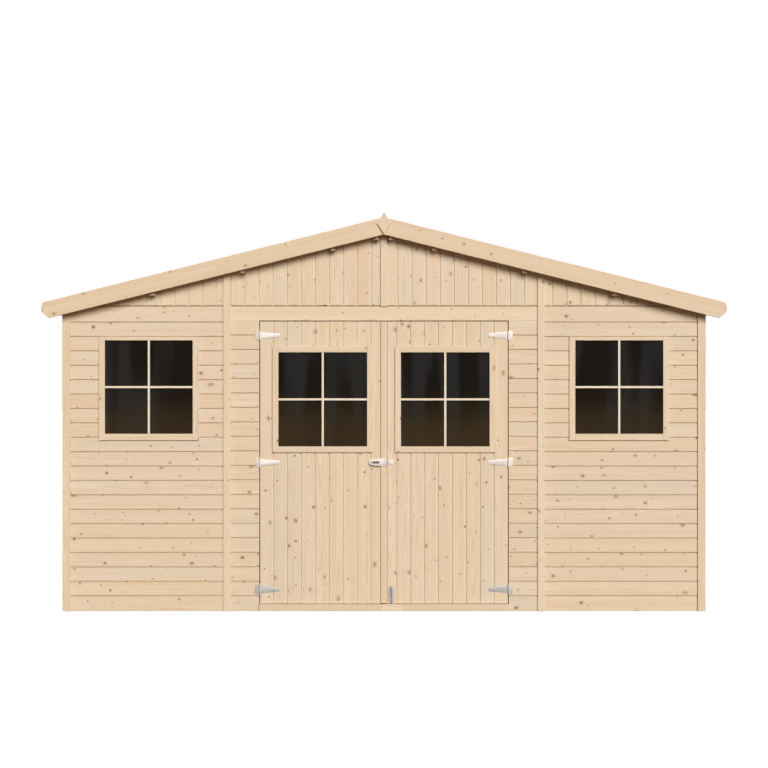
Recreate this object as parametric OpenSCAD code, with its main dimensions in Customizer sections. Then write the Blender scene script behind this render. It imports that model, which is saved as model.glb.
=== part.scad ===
// Timber garden shed with an apex roof, double doors and four glazed windows.
// Millimetres, +Z up. The doors face -Y, the ground is Z = 0 and the origin is under the ridge, mid-depth.

/* [Walls] */
// Width over the boards of the side walls
wall_w = 3904; // [3600:1:4900]
// Depth over the boards of the front and back walls
wall_d = 3000; // [2400:1:3800]
// Height of the front and back walls, below the gables
wall_h = 1862; // [1780:1:2300]
// Thickness of the wall and gable boards
board_t = 16; // [12:1:22]
// Height of the gable boards at their outer ends
gable_end_h = 28; // [20:1:80]

/* [Frame] */
// Face width of the studs
stud_w = 28; // [22:1:45]
// Depth of the studs and rails, into the room
frame_d = 44; // [34:1:60]
// Height of the rails
rail_h = 44; // [34:1:44]

/* [Floor] */
// Height of the floor and of the threshold above the ground
floor_top = 45; // [40:1:90]
// Thickness of the floor boards
floor_t = 16; // [12:1:22]
// Width of a floor bearer
bearer_w = 44; // [34:1:70]
// Largest distance between two bearers, centre to centre
bearer_pitch = 480; // [300:10:600]

/* [Doorway] */
// Width of the doorway between its jambs
doorway_w = 1524; // [1300:1:1640]
// Width of the middle panel of the front, between the panel joints
centre_w = 1920; // [1840:1:2000]
// Height of the header board over the doors
header_h = 86; // [60:1:140]
// How far the threshold stands out from the wall boards
threshold_lip = 18; // [16:1:30]
// Gap left under the threshold
threshold_gap = 12; // [6:1:20]

/* [Doors] */
// Running gap between a leaf and the jamb, header or threshold
leaf_gap = 5; // [5:0.5:8]
// Running gap between the two leaves
meeting_gap = 6; // [5.5:0.5:9]
// Distance of the left leaf's closing edge past the middle
meeting_x = 19; // [15:1:30]
// Width of the strip that covers the closing edge
strip_w = 40; // [30:1:60]
// Height of a door ledge
ledge_h = 95; // [70:1:100]
// Thickness of the ledges and braces
ledge_t = 28; // [18:1:34]
// Distance from a leaf's edges to the ends of its ledges
ledge_inset = 40; // [30:1:80]
// Width of a brace across its slope, measured level
brace_w = 110; // [80:1:140]

/* [Windows] */
// Width of the glass that shows in a door
door_glass_w = 541; // [400:1:560]
// Height of the glass that shows in a door
door_glass_h = 574; // [400:1:590]
// Distance of a door window's centre from the middle of the shed
door_window_x = 374; // [360:1:390]
// Distance from a leaf's top down to its glass
door_glass_drop = 189; // [186:1:240]
// Width of the glass that shows in a wall window
wall_glass_w = 536; // [400:1:600]
// Height of the glass that shows in a wall window
wall_glass_h = 570; // [400:1:800]
// Distance from the wall's top down to its glass
wall_glass_drop = 207; // [120:1:300]
// Shift of a wall window from its panel's middle towards the doors
wall_window_shift = 20; // [0:1:60]
// Width of the trim at the sides of every window
trim_w = 37; // [25:1:38]
// Width of the trim over a wall window
wall_trim_top = 24; // [20:1:60]
// Width of the trim under a wall window
wall_trim_bottom = 40; // [25:1:60]
// Thickness of all the trim, battens and strips
trim_t = 12; // [9:1:18]
// Thickness of a glass sheet
glass_t = 4; // [3:1:6]
// How far the glass reaches behind the trim
rebate = 12; // [8:1:18]

/* [Trim] */
// Width of the battens that cover the panel joints
batten_w = 44; // [36:1:70]
// Width of the batten in the middle of a gable
gable_batten_w = 42; // [30:1:56]
// Width of a corner trim on each of its two faces
corner_w = 49; // [40:1:80]

/* [Roof] */
// Pitch of the roof in degrees
pitch = 14; // [10:0.5:22]
// Overhang of the roof past the side walls' boards
eave_overhang = 128; // [90:1:220]
// Overhang of the barge boards past the front and back boards
verge_overhang = 90; // [60:1:200]
// Thickness of the roof boards
roof_t = 16; // [12:1:22]
// Thickness of the roofing felt
felt_t = 3; // [2:0.5:5]
// Depth of a barge board, square to its slope
barge_h = 101; // [80:1:150]
// Thickness of a barge board
barge_t = 18; // [14:1:28]
// Height of a barge board's top edge over the felt
barge_lip = 4; // [0:1:12]
// Length of the corner cut off a barge board's foot
barge_cut = 46; // [20:1:70]
// Height of the barge board's end above that cut
barge_nose = 52; // [30:1:80]
// Side of the square batten under the eaves
eave_batten = 28; // [20:1:40]
// Width of a purlin
purlin_w = 28; // [22:1:28]
// Height of a purlin
purlin_h = 95; // [70:1:120]
// Distance of the two ridge purlins from the middle
ridge_purlin_x = 43; // [42:1:60]
// Distance of the first roof purlin from the middle
first_purlin_x = 309; // [200:1:400]
// Distance between two roof purlins
purlin_pitch = 549; // [400:1:700]

/* [Finial] */
// Width of the finial
finial_w = 85; // [60:1:110]
// Height of the finial above its shoulders
finial_up = 70; // [50:1:120]
// Height of the finial below its shoulders
finial_down = 65; // [40:1:90]
// Thickness of the finial
finial_t = 14; // [10:1:22]

/* [Ironmongery] */
// Height of a hinge's jamb plate
hinge_plate_h = 58; // [50:1:80]
// Width of a hinge's jamb plate, from the pin
hinge_plate_w = 27; // [20:1:35]
// Length of a hinge strap from the pin
strap_l = 124; // [90:1:200]
// Height of a hinge strap at its root
strap_root_h = 45; // [34:1:50]
// Height of a hinge strap at its tip
strap_tip_h = 24; // [16:1:30]
// Distance from a leaf's top and foot to the nearer hinge
hinge_inset = 85; // [70:1:120]
// Thickness of the steel plates
plate_t = 3; // [2:0.5:4]
// Radius of the hinge knuckles
knuckle_r = 4.5; // [4:0.5:6]
// Radius of the hinge pins
pin_r = 2.5; // [2:0.1:3]
// Height of a hinge's middle knuckle
knuckle_h = 28; // [20:1:34]
// Length of the hasp strap
hasp_l = 110; // [80:1:150]
// Height of the hasp strap
hasp_h = 48; // [36:1:60]
// Length of the hasp's fixed plate
hasp_plate_l = 34; // [25:1:50]
// Height of the hasp's fixed plate
hasp_plate_h = 33; // [25:1:45]
// Distance of the drop bolt from the right leaf's closing edge
bolt_x = 23; // [20:1:40]
// Radius of the bolt's rod
bolt_r = 4; // [3:0.5:6]
// Width of the bolt's back plate
bolt_plate_w = 36; // [28:1:50]
// Height of the bolt's back plate
bolt_plate_h = 86; // [70:1:120]
// How far the raised bolt stays above its keeper
bolt_lift = 6; // [5:1:10]

/* [Hidden] */
// Running clearance round pins and rods, and of the rod from its back plate
pin_gap = 0.3;
rod_gap = 0.5;
keeper_gap = 1;
knuckle_gap = 0.5;
// Distance kept between the floor and the wall rails
floor_gap = 0.3;
rod_stand = 1;
slope = tan(pitch);
half_w = wall_w / 2;
half_d = wall_d / 2;
joint_x = centre_w / 2;
jamb_x = doorway_w / 2;
// Inner faces of the boards
board_x = half_w - board_t;
board_y = half_d - board_t;
// Roof: underside of its boards at the ridge, and the heights stacked on it
ridge_z = wall_h + gable_end_h + slope * half_w;
roof_v = roof_t / cos(pitch);
felt_v = felt_t / cos(pitch);
barge_v = barge_h / cos(pitch);
barge_top_z = ridge_z + roof_v + felt_v + barge_lip;
roof_x = half_w + eave_overhang;
barge_y = half_d + verge_overhang;
roof_y = barge_y - barge_t;
purlin_margin = 100;
purlin_count = floor((half_w - first_purlin_x - purlin_margin) / purlin_pitch) + 1;
ridge_purlins_x = [for (side = [-1, 1]) side * ridge_purlin_x];
roof_purlins_x = [for (side = [-1, 1]) for (k = [0 : purlin_count - 1])
    side * (first_purlin_x + k * purlin_pitch)];
// Doors
leaf_bottom = floor_top + leaf_gap;
header_z = wall_h - header_h;
leaf_top = header_z - leaf_gap;
leaf_left = [-jamb_x + leaf_gap, meeting_x];
leaf_right = [meeting_x + meeting_gap, jamb_x - leaf_gap];
hinge_x = jamb_x - leaf_gap / 2;
pin_stand = knuckle_r + 2;
hinge_y = -half_d - pin_stand;
hinges_z = [leaf_bottom + hinge_inset, (leaf_bottom + leaf_top) / 2, leaf_top - hinge_inset];
// Windows: centres, and the holes that the glass needs
door_window_z = leaf_top - door_glass_drop - door_glass_h / 2;
wall_window_z = wall_h - wall_glass_drop - wall_glass_h / 2;
wall_window_x = (joint_x + half_w) / 2 - wall_window_shift;
wall_hole_w = wall_glass_w + 2 * rebate;
wall_hole_h = wall_glass_h + 2 * rebate;
door_hole_w = door_glass_w + 2 * rebate;
door_hole_h = door_glass_h + 2 * rebate;
// Drop bolt
bolt_cx = leaf_right[0] + bolt_x;
bolt_y = -half_d - plate_t - rod_stand - bolt_r;
bolt_z0 = leaf_bottom + 10;
keeper_size = [32, 14, 1.5];
loop_h = 12;
loop_wall = 3;
bolt_tip_z = floor_top + bolt_lift;
round_fn = 48;

wood = "burlywood";
pale = "wheat";
steel = "gainsboro";
glass = "darkslategray";
felt = "dimgray";

// Height of the roof boards' underside at a distance x from the ridge
function roof_z(x) = ridge_z - slope * abs(x);

// Extrudes an X-Z outline from y towards the back by t
module across(y, t) {
    translate([0, y + t, 0]) rotate([90, 0, 0]) linear_extrude(t) children();
}

// Extrudes a Y-Z outline from x towards +X by t
module along(x, t) {
    translate([x, 0, 0]) rotate([90, 0, 90]) linear_extrude(t) children();
}

// Rectangle between two opposite corners
module rect(from, to) {
    translate(from) square(to - from);
}

// Rectangle round a centre
module centred(at, size) {
    translate(at) square(size, center = true);
}

// Repeats a child on the -X side and, mirrored, on the +X side
module both_sides() {
    children();
    mirror([1, 0, 0]) children();
}

// Repeats a child at the front and, mirrored, at the back
module front_and_back() {
    children();
    mirror([0, 1, 0]) children();
}

// ---- floor ----

module floor_bearers() {
    reach_x = board_x - frame_d - floor_gap;
    reach_y = board_y - frame_d - floor_gap;
    spaces = ceil((2 * reach_x - bearer_w) / bearer_pitch);
    color(wood)
        for (k = [0 : spaces])
            translate([-reach_x + k * (2 * reach_x - bearer_w) / spaces, -reach_y, 0])
                cube([bearer_w, 2 * reach_y, floor_top - floor_t]);
}

module floor_boards() {
    reach_x = board_x - frame_d - floor_gap;
    reach_y = board_y - frame_d - floor_gap;
    color(pale)
        translate([-reach_x, -reach_y, floor_top - floor_t])
            cube([2 * reach_x, 2 * reach_y, floor_t]);
}

// ---- walls ----

// One outer panel of the front, with its window hole; side is -1 left, 1 right
module front_outer_panel(side) {
    color(wood)
        across(-half_d, board_t)
            difference() {
                scale([side, 1]) rect([joint_x, 0], [half_w, wall_h]);
                centred([side * wall_window_x, wall_window_z], [wall_hole_w, wall_hole_h]);
            }
}

module front_wall_left() {
    front_outer_panel(-1);
}

module front_wall_right() {
    front_outer_panel(1);
}

module front_wall_beside_door() {
    color(wood)
        both_sides()
            across(-half_d, board_t) rect([jamb_x, 0], [joint_x, header_z]);
}

module door_header() {
    color(pale)
        across(-half_d, board_t) rect([-joint_x, header_z], [joint_x, wall_h]);
}

// Ends of the purlins, seen from the front
module purlin_ends(positions) {
    for (x = positions)
        rect([x - purlin_w / 2, roof_z(abs(x) + purlin_w / 2) - purlin_h],
             [x + purlin_w / 2, roof_z(abs(x) + purlin_w / 2)]);
}

// Gaps that the purlins pass through, open to the top
module purlin_notches() {
    for (x = concat(ridge_purlins_x, roof_purlins_x))
        rect([x - purlin_w / 2, roof_z(abs(x) + purlin_w / 2) - purlin_h],
             [x + purlin_w / 2, ridge_z]);
}

module gable() {
    across(-half_d, board_t)
        difference() {
            polygon([[-half_w, wall_h], [half_w, wall_h], [half_w, roof_z(half_w)],
                     [0, ridge_z], [-half_w, roof_z(half_w)]]);
            purlin_notches();
        }
}

module front_gable() {
    color(wood) gable();
}

module back_gable() {
    color(wood) mirror([0, 1, 0]) gable();
}

module back_wall() {
    color(wood)
        across(board_y, board_t) rect([-half_w, 0], [half_w, wall_h]);
}

module side_wall() {
    along(-half_w, board_t) rect([-board_y, 0], [board_y, roof_z(half_w)]);
}

module left_wall() {
    color(wood) side_wall();
}

module right_wall() {
    color(wood) mirror([1, 0, 0]) side_wall();
}

// ---- frame behind the boards ----

// Bottom and top rails of an end wall
module end_rails() {
    across(-board_y, frame_d) rect([-board_x, 0], [board_x, rail_h]);
    across(-board_y, frame_d) rect([-board_x, wall_h - rail_h], [board_x, wall_h]);
}

// One stud of an end wall, of width w
module end_stud(x, w) {
    across(-board_y, frame_d) rect([x - w / 2, rail_h], [x + w / 2, wall_h - rail_h]);
}

module front_rails() {
    color(wood) {
        end_rails();
        both_sides()
            for (over = [-1, 1])
                across(-board_y, frame_d)
                    centred([wall_window_x, wall_window_z + over * (wall_hole_h + stud_w) / 2],
                            [wall_hole_w, stud_w]);
    }
}

module front_studs() {
    color(wood)
        both_sides() {
            end_stud(board_x - stud_w / 2, stud_w);
            end_stud(joint_x, 2 * stud_w);
            end_stud(jamb_x + stud_w / 2, stud_w);
            for (edge = [-1, 1])
                end_stud(wall_window_x + edge * (wall_hole_w + stud_w) / 2, stud_w);
        }
}

module back_rails() {
    color(wood) mirror([0, 1, 0]) end_rails();
}

module back_studs() {
    color(wood)
        mirror([0, 1, 0]) {
            end_stud(0, stud_w);
            both_sides() {
                end_stud(board_x - stud_w / 2, stud_w);
                end_stud(joint_x, 2 * stud_w);
                end_stud(joint_x / 2, stud_w);
                end_stud((joint_x + board_x) / 2, stud_w);
            }
        }
}

module side_rails() {
    reach = board_y - frame_d;
    color(wood)
        both_sides()
            for (z = [0, wall_h - rail_h])
                along(-board_x, frame_d) rect([-reach, z], [reach, z + rail_h]);
}

module side_studs() {
    reach = board_y - frame_d;
    places = [[-reach + stud_w / 2, stud_w], [-reach / 2, stud_w], [0, 2 * stud_w],
              [reach / 2, stud_w], [reach - stud_w / 2, stud_w]];
    color(wood)
        both_sides()
            for (place = places)
                along(-board_x, frame_d)
                    rect([place[0] - place[1] / 2, rail_h], [place[0] + place[1] / 2, wall_h - rail_h]);
}

// ---- trim outside the boards ----

module corner_trims() {
    out_x = half_w + trim_t;
    out_y = half_d + trim_t;
    color(pale)
        both_sides() front_and_back()
            linear_extrude(roof_z(out_x))
                polygon([[-out_x, -out_y], [-out_x + corner_w, -out_y], [-out_x + corner_w, -half_d],
                         [-half_w, -half_d], [-half_w, -out_y + corner_w], [-out_x, -out_y + corner_w]]);
}

// Cover batten over a panel joint, cut to the roof's slope
module joint_batten() {
    from = joint_x - batten_w / 2;
    to = joint_x + batten_w / 2;
    across(-half_d - trim_t, trim_t)
        polygon([[from, 0], [to, 0], [to, roof_z(to)], [from, roof_z(from)]]);
}

module front_cover_battens() {
    color(pale) both_sides() joint_batten();
}

module back_cover_battens() {
    color(pale) mirror([0, 1, 0]) both_sides() joint_batten();
}

module side_cover_battens() {
    out_x = half_w + trim_t;
    color(pale)
        both_sides()
            along(-out_x, trim_t) rect([-batten_w / 2, 0], [batten_w / 2, roof_z(out_x)]);
}

module gable_battens() {
    reach = gable_batten_w / 2;
    color(pale)
        front_and_back()
            across(-half_d - trim_t, trim_t)
                polygon([[-reach, wall_h], [reach, wall_h], [reach, roof_z(reach)],
                         [0, ridge_z], [-reach, roof_z(reach)]]);
}

// ---- windows ----

// Trim round the glass outside, and the lining that holds the glass from inside
module window_frame(at, glass_size, over, under, y, lining_d) {
    hole = glass_size + [2 * rebate, 2 * rebate];
    across(y - trim_t, trim_t)
        difference() {
            rect(at - glass_size / 2 - [trim_w, under], at + glass_size / 2 + [trim_w, over]);
            centred(at, glass_size);
        }
    across(y + glass_t, lining_d - glass_t)
        difference() {
            centred(at, hole);
            centred(at, glass_size);
        }
}

module window_glass(at, glass_size, y) {
    across(y, glass_t) centred(at, glass_size + [2 * rebate, 2 * rebate]);
}

module wall_window_frame(side) {
    color(pale)
        window_frame([side * wall_window_x, wall_window_z], [wall_glass_w, wall_glass_h],
                     wall_trim_top, wall_trim_bottom, -half_d, board_t + frame_d);
}

module wall_window_glass(side) {
    color(glass)
        window_glass([side * wall_window_x, wall_window_z], [wall_glass_w, wall_glass_h], -half_d);
}

module window_frame_left() {
    wall_window_frame(-1);
}

module window_frame_right() {
    wall_window_frame(1);
}

module window_glass_left() {
    wall_window_glass(-1);
}

module window_glass_right() {
    wall_window_glass(1);
}

// ---- doorway ----

// Keeper plate's block, let in flush with the top of the threshold
module keeper_block() {
    translate([bolt_cx - keeper_size[0] / 2, bolt_y - keeper_size[1] / 2, floor_top - keeper_size[2]])
        cube(keeper_size);
}

// Hole that the bolt drops into
module keeper_hole() {
    translate([bolt_cx, bolt_y, 0]) cylinder(h = 2 * floor_top, r = bolt_r + keeper_gap, $fn = round_fn);
}

module threshold() {
    color(wood)
        difference() {
            across(-half_d - threshold_lip, threshold_lip + board_t)
                rect([-jamb_x, threshold_gap], [jamb_x, floor_top]);
            keeper_block();
            keeper_hole();
        }
}

module bolt_keeper() {
    color(steel)
        difference() {
            keeper_block();
            keeper_hole();
        }
}

// ---- roof ----

module ridge_purlins() {
    color(wood) across(-roof_y, 2 * roof_y) purlin_ends(ridge_purlins_x);
}

module roof_purlins() {
    color(wood) across(-roof_y, 2 * roof_y) purlin_ends(roof_purlins_x);
}

// Sloping slab on the -X side whose underside is lift above the roof boards' underside
module roof_slab(lift, thick) {
    across(-roof_y, 2 * roof_y)
        polygon([[-roof_x, roof_z(roof_x) + lift], [0, ridge_z + lift],
                 [0, ridge_z + lift + thick], [-roof_x, roof_z(roof_x) + lift + thick]]);
}

module roof_left() {
    color(pale) roof_slab(0, roof_v);
}

module roof_right() {
    color(pale) mirror([1, 0, 0]) roof_slab(0, roof_v);
}

module roof_felt() {
    color(felt) both_sides() roof_slab(roof_v, felt_v);
}

module eave_battens() {
    color(wood)
        both_sides()
            across(-roof_y, 2 * roof_y)
                polygon([[-roof_x, roof_z(roof_x) - eave_batten], [-roof_x + eave_batten, roof_z(roof_x) - eave_batten],
                         [-roof_x + eave_batten, roof_z(roof_x - eave_batten)], [-roof_x, roof_z(roof_x)]]);
}

// Barge board on the -X side of the front
module barge_board() {
    end_z = barge_top_z - slope * roof_x;
    foot_x = roof_x - barge_cut;
    across(-barge_y, barge_t)
        polygon([[0, barge_top_z], [-roof_x, end_z], [-roof_x, end_z - barge_nose],
                 [-foot_x, barge_top_z - barge_v - slope * foot_x], [0, barge_top_z - barge_v]]);
}

module barge_boards_left() {
    color(pale) front_and_back() barge_board();
}

module barge_boards_right() {
    color(pale) front_and_back() mirror([1, 0, 0]) barge_board();
}

module finials() {
    foot_z = barge_top_z - barge_v;
    color(pale)
        front_and_back()
            across(-barge_y - finial_t, finial_t)
                polygon([[0, foot_z], [finial_w / 2, foot_z + finial_down],
                         [0, foot_z + finial_down + finial_up], [-finial_w / 2, foot_z + finial_down]]);
}

// ---- door leaves, all given by their left and right edges ----

module leaf(edges, window_x) {
    across(-half_d, board_t)
        difference() {
            rect([edges[0], leaf_bottom], [edges[1], leaf_top]);
            centred([window_x, door_window_z], [door_hole_w, door_hole_h]);
        }
}

module ledges(edges) {
    for (z = hinges_z)
        across(-board_y, ledge_t)
            rect([edges[0] + ledge_inset, z - ledge_h / 2], [edges[1] - ledge_inset, z + ledge_h / 2]);
}

// Brace that rises from the hinge side's foot; foot and head are the ledges' end places
module brace(foot, head, lean) {
    low = hinges_z[0] + ledge_h / 2;
    high = hinges_z[1] - ledge_h / 2;
    across(-board_y, ledge_t)
        polygon([[foot, low], [foot + lean * brace_w, low], [head, high], [head - lean * brace_w, high]]);
}

module door_left_leaf() {
    color(wood) leaf(leaf_left, -door_window_x);
}

module door_left_ledges() {
    color(wood) ledges(leaf_left);
}

module door_left_brace() {
    color(wood) brace(leaf_left[0] + ledge_inset, leaf_left[1] - ledge_inset, 1);
}

module door_left_window_frame() {
    color(pale)
        window_frame([-door_window_x, door_window_z], [door_glass_w, door_glass_h],
                     trim_w, trim_w, -half_d, board_t + ledge_t / 2);
}

module door_left_glass() {
    color(glass) window_glass([-door_window_x, door_window_z], [door_glass_w, door_glass_h], -half_d);
}

module door_cover_strip() {
    color(pale)
        across(-half_d - trim_t, trim_t) rect([meeting_x - strip_w, leaf_bottom], [meeting_x, leaf_top]);
}

module door_right_leaf() {
    color(wood) leaf(leaf_right, door_window_x);
}

module door_right_ledges() {
    color(wood) ledges(leaf_right);
}

module door_right_brace() {
    color(wood) brace(leaf_right[1] - ledge_inset, leaf_right[0] + ledge_inset, -1);
}

module door_right_window_frame() {
    color(pale)
        window_frame([door_window_x, door_window_z], [door_glass_w, door_glass_h],
                     trim_w, trim_w, -half_d, board_t + ledge_t / 2);
}

module door_right_glass() {
    color(glass) window_glass([door_window_x, door_window_z], [door_glass_w, door_glass_h], -half_d);
}

// ---- hinges ----

// Jamb plate of a left-hand hinge with its two outer knuckles and pin, round the pin's middle
module hinge_plate() {
    outer_h = (hinge_plate_h - knuckle_h) / 2 - knuckle_gap;
    translate([-hinge_plate_w, pin_stand - plate_t, -hinge_plate_h / 2])
        cube([hinge_plate_w - knuckle_r, plate_t, hinge_plate_h]);
    for (end = [-1, 1])
        translate([0, 0, end * (hinge_plate_h - outer_h) / 2]) {
            cylinder(h = outer_h, r = knuckle_r, center = true, $fn = round_fn);
            translate([-knuckle_r / 2, pin_stand / 2, 0])
                cube([knuckle_r, pin_stand, outer_h], center = true);
        }
    cylinder(h = hinge_plate_h, r = pin_r, center = true, $fn = round_fn);
}

// Strap of a left-hand hinge with its middle knuckle, round the pin's middle
module hinge_strap() {
    root = knuckle_r + 1;
    tip_r = strap_tip_h / 2;
    difference() {
        union() {
            translate([0, pin_stand, 0]) rotate([90, 0, 0])
                linear_extrude(plate_t) {
                    polygon([[root, -strap_root_h / 2], [strap_l - tip_r, -tip_r],
                             [strap_l - tip_r, tip_r], [root, strap_root_h / 2]]);
                    translate([strap_l - tip_r, 0]) circle(r = tip_r, $fn = round_fn);
                }
            cylinder(h = knuckle_h, r = knuckle_r, center = true, $fn = round_fn);
            translate([root / 2, pin_stand - plate_t, 0])
                cube([root + 1, 2 * plate_t, knuckle_h], center = true);
        }
        cylinder(h = 2 * knuckle_h, r = pin_r + pin_gap, center = true, $fn = round_fn);
    }
}

module hinge_plates() {
    color(steel)
        both_sides()
            for (z = hinges_z) translate([-hinge_x, hinge_y, z]) hinge_plate();
}

module door_left_hinge_straps() {
    color(steel)
        for (z = hinges_z) translate([-hinge_x, hinge_y, z]) hinge_strap();
}

module door_right_hinge_straps() {
    color(steel)
        mirror([1, 0, 0])
            for (z = hinges_z) translate([-hinge_x, hinge_y, z]) hinge_strap();
}

// ---- hasp and drop bolt ----

module hasp_strap() {
    barrel_r = 3.5;
    slot_l = 34;
    slot_h = 9;
    slot_shift = 32;
    tip_r = hasp_h * 0.36;
    front_y = -half_d - trim_t;
    barrel_x = meeting_x - barrel_r;
    color(steel)
        translate([barrel_x, front_y, hinges_z[1]]) {
            rotate([90, 0, 0])
                linear_extrude(plate_t)
                    difference() {
                        union() {
                            polygon([[0, -hasp_h / 2], [0, hasp_h / 2], [-hasp_l / 2, hasp_h / 2],
                                     [tip_r - hasp_l, tip_r], [tip_r - hasp_l, -tip_r],
                                     [-hasp_l / 2, -hasp_h / 2]]);
                            translate([tip_r - hasp_l, 0]) circle(r = tip_r, $fn = round_fn);
                        }
                        centred([slot_shift - hasp_l, 0], [slot_l, slot_h]);
                    }
            translate([0, -barrel_r, 0])
                cylinder(h = hasp_h, r = barrel_r, center = true, $fn = round_fn);
        }
}

module hasp_plate() {
    color(steel)
        across(-half_d - plate_t, plate_t)
            rect([leaf_right[0], hinges_z[1] - hasp_plate_h / 2],
                 [leaf_right[0] + hasp_plate_l, hinges_z[1] + hasp_plate_h / 2]);
}

// Back plate of the drop bolt with its two guide loops
module bolt_guide() {
    loop_r = bolt_r + rod_gap;
    loop_d = rod_stand + bolt_r;
    color(steel)
        difference() {
            union() {
                translate([bolt_cx - bolt_plate_w / 2, -half_d - plate_t, bolt_z0])
                    cube([bolt_plate_w, plate_t, bolt_plate_h]);
                for (z = [bolt_z0 + loop_wall, bolt_z0 + bolt_plate_h - loop_h - loop_wall])
                    translate([bolt_cx, bolt_y, z]) {
                        cylinder(h = loop_h, r = loop_r + loop_wall, $fn = round_fn);
                        translate([-loop_r - loop_wall, 0, 0])
                            cube([2 * (loop_r + loop_wall), loop_d, loop_h]);
                    }
            }
            translate([bolt_cx, bolt_y, 0])
                cylinder(h = 2 * (bolt_z0 + bolt_plate_h), r = loop_r, $fn = round_fn);
        }
}

module bolt_rod() {
    knob_r = 5;
    knob_l = 16;
    color(steel)
        translate([bolt_cx, bolt_y, bolt_tip_z]) {
            cylinder(h = bolt_z0 + bolt_plate_h - bolt_tip_z + loop_h, r = bolt_r, $fn = round_fn);
            translate([0, 0, bolt_z0 + bolt_plate_h / 2 + loop_h - bolt_tip_z])
                rotate([90, 0, 0]) cylinder(h = knob_l, r = knob_r, $fn = round_fn);
        }
}

floor_bearers();
floor_boards();
front_wall_left();
front_wall_right();
front_wall_beside_door();
door_header();
front_gable();
back_wall();
back_gable();
left_wall();
right_wall();
front_rails();
front_studs();
back_rails();
back_studs();
side_rails();
side_studs();
corner_trims();
front_cover_battens();
back_cover_battens();
side_cover_battens();
gable_battens();
window_frame_left();
window_frame_right();
window_glass_left();
window_glass_right();
threshold();
bolt_keeper();
hinge_plates();
ridge_purlins();
roof_purlins();
roof_left();
roof_right();
roof_felt();
eave_battens();
barge_boards_left();
barge_boards_right();
finials();
door_left_leaf();
door_left_ledges();
door_left_brace();
door_left_window_frame();
door_left_glass();
door_left_hinge_straps();
door_cover_strip();
hasp_strap();
door_right_leaf();
door_right_ledges();
door_right_brace();
door_right_window_frame();
door_right_glass();
door_right_hinge_straps();
hasp_plate();
bolt_guide();
bolt_rod();
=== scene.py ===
import bpy
import math
import random
import numpy as np
from mathutils import Matrix, Vector


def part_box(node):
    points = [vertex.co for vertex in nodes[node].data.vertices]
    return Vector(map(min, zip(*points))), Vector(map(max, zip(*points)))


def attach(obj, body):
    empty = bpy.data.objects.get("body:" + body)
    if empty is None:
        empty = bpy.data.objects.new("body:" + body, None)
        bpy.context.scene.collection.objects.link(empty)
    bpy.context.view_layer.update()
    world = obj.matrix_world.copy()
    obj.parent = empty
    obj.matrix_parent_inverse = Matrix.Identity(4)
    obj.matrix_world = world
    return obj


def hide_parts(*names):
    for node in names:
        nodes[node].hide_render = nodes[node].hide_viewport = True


# Timber garden shed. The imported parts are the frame; boards, bars, felt and screws are laid on them.
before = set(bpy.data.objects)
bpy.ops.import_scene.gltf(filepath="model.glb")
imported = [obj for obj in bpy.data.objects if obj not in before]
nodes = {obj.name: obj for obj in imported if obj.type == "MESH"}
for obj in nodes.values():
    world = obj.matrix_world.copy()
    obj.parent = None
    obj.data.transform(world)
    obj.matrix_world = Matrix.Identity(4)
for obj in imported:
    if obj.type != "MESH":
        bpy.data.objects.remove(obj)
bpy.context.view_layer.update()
scene = bpy.context.scene
dice = random.Random(4160)
alongX, alongY, alongZ = (1, 0, 0), (0, 1, 0), (0, 0, 1)


def report(text):
    print("shed:", text, flush=True)


# Picking, cutting, joining and finishing pieces

def pickNone():
    bpy.ops.object.select_all(action="DESELECT")


def activate(piece):
    pickNone()
    piece.select_set(True)
    bpy.context.view_layer.objects.active = piece


def startPick(piece, kind):
    activate(piece)
    bpy.ops.object.mode_set(mode="EDIT")
    bpy.ops.mesh.select_mode(type=kind)
    bpy.ops.mesh.select_all(action="DESELECT")
    bpy.ops.object.mode_set(mode="OBJECT")


def pickFaces(piece, test):  # ends in edit mode; test gets a face's middle and normal
    startPick(piece, "FACE")
    for face in piece.data.polygons:
        face.select = bool(test(face.center, face.normal))
    bpy.ops.object.mode_set(mode="EDIT")


def pickEdges(piece, test):  # ends in edit mode; test gets an edge's two ends
    startPick(piece, "EDGE")
    points = piece.data.vertices
    for edge in piece.data.edges:
        edge.select = bool(test(points[edge.vertices[0]].co, points[edge.vertices[1]].co))
    bpy.ops.object.mode_set(mode="EDIT")


def pickAll(piece):
    activate(piece)
    bpy.ops.object.mode_set(mode="EDIT")
    bpy.ops.mesh.select_all(action="SELECT")


def leaveEdit():
    bpy.ops.object.mode_set(mode="OBJECT")


def settle(piece):  # place and size go into the mesh
    activate(piece)
    bpy.ops.object.transform_apply(location=True, rotation=True, scale=True)


def cubeAt(low, high):
    pickNone()
    middle = [(a + b) / 2 for a, b in zip(low, high)]
    bpy.ops.mesh.primitive_cube_add(size=1, location=middle, scale=[b - a for a, b in zip(low, high)])
    cube = bpy.context.active_object
    settle(cube)
    return cube


def rodAt(sides, radius, length, middle, turned=(0, 0, 0)):
    pickNone()
    bpy.ops.mesh.primitive_cylinder_add(vertices=sides, radius=radius, depth=length, location=middle, rotation=turned)
    rod = bpy.context.active_object
    settle(rod)
    return rod


def useModifier(piece, kind, **settings):
    activate(piece)
    modifier = piece.modifiers.new(kind.title(), kind)
    for key, value in settings.items():
        setattr(modifier, key, value)
    bpy.ops.object.modifier_apply(modifier=modifier.name)


def discard(piece):
    mesh = piece.data
    bpy.data.objects.remove(piece)
    bpy.data.meshes.remove(mesh)


def sawOff(piece, point, outward):  # what lies beyond the cut goes, and the cut is closed
    pickAll(piece)
    bpy.ops.mesh.bisect(plane_co=point, plane_no=Vector(outward).normalized(), use_fill=True, clear_outer=True)
    leaveEdit()


def carve(piece, cutter):
    useModifier(piece, "BOOLEAN", operation="DIFFERENCE", solver="EXACT", object=cutter)


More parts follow.
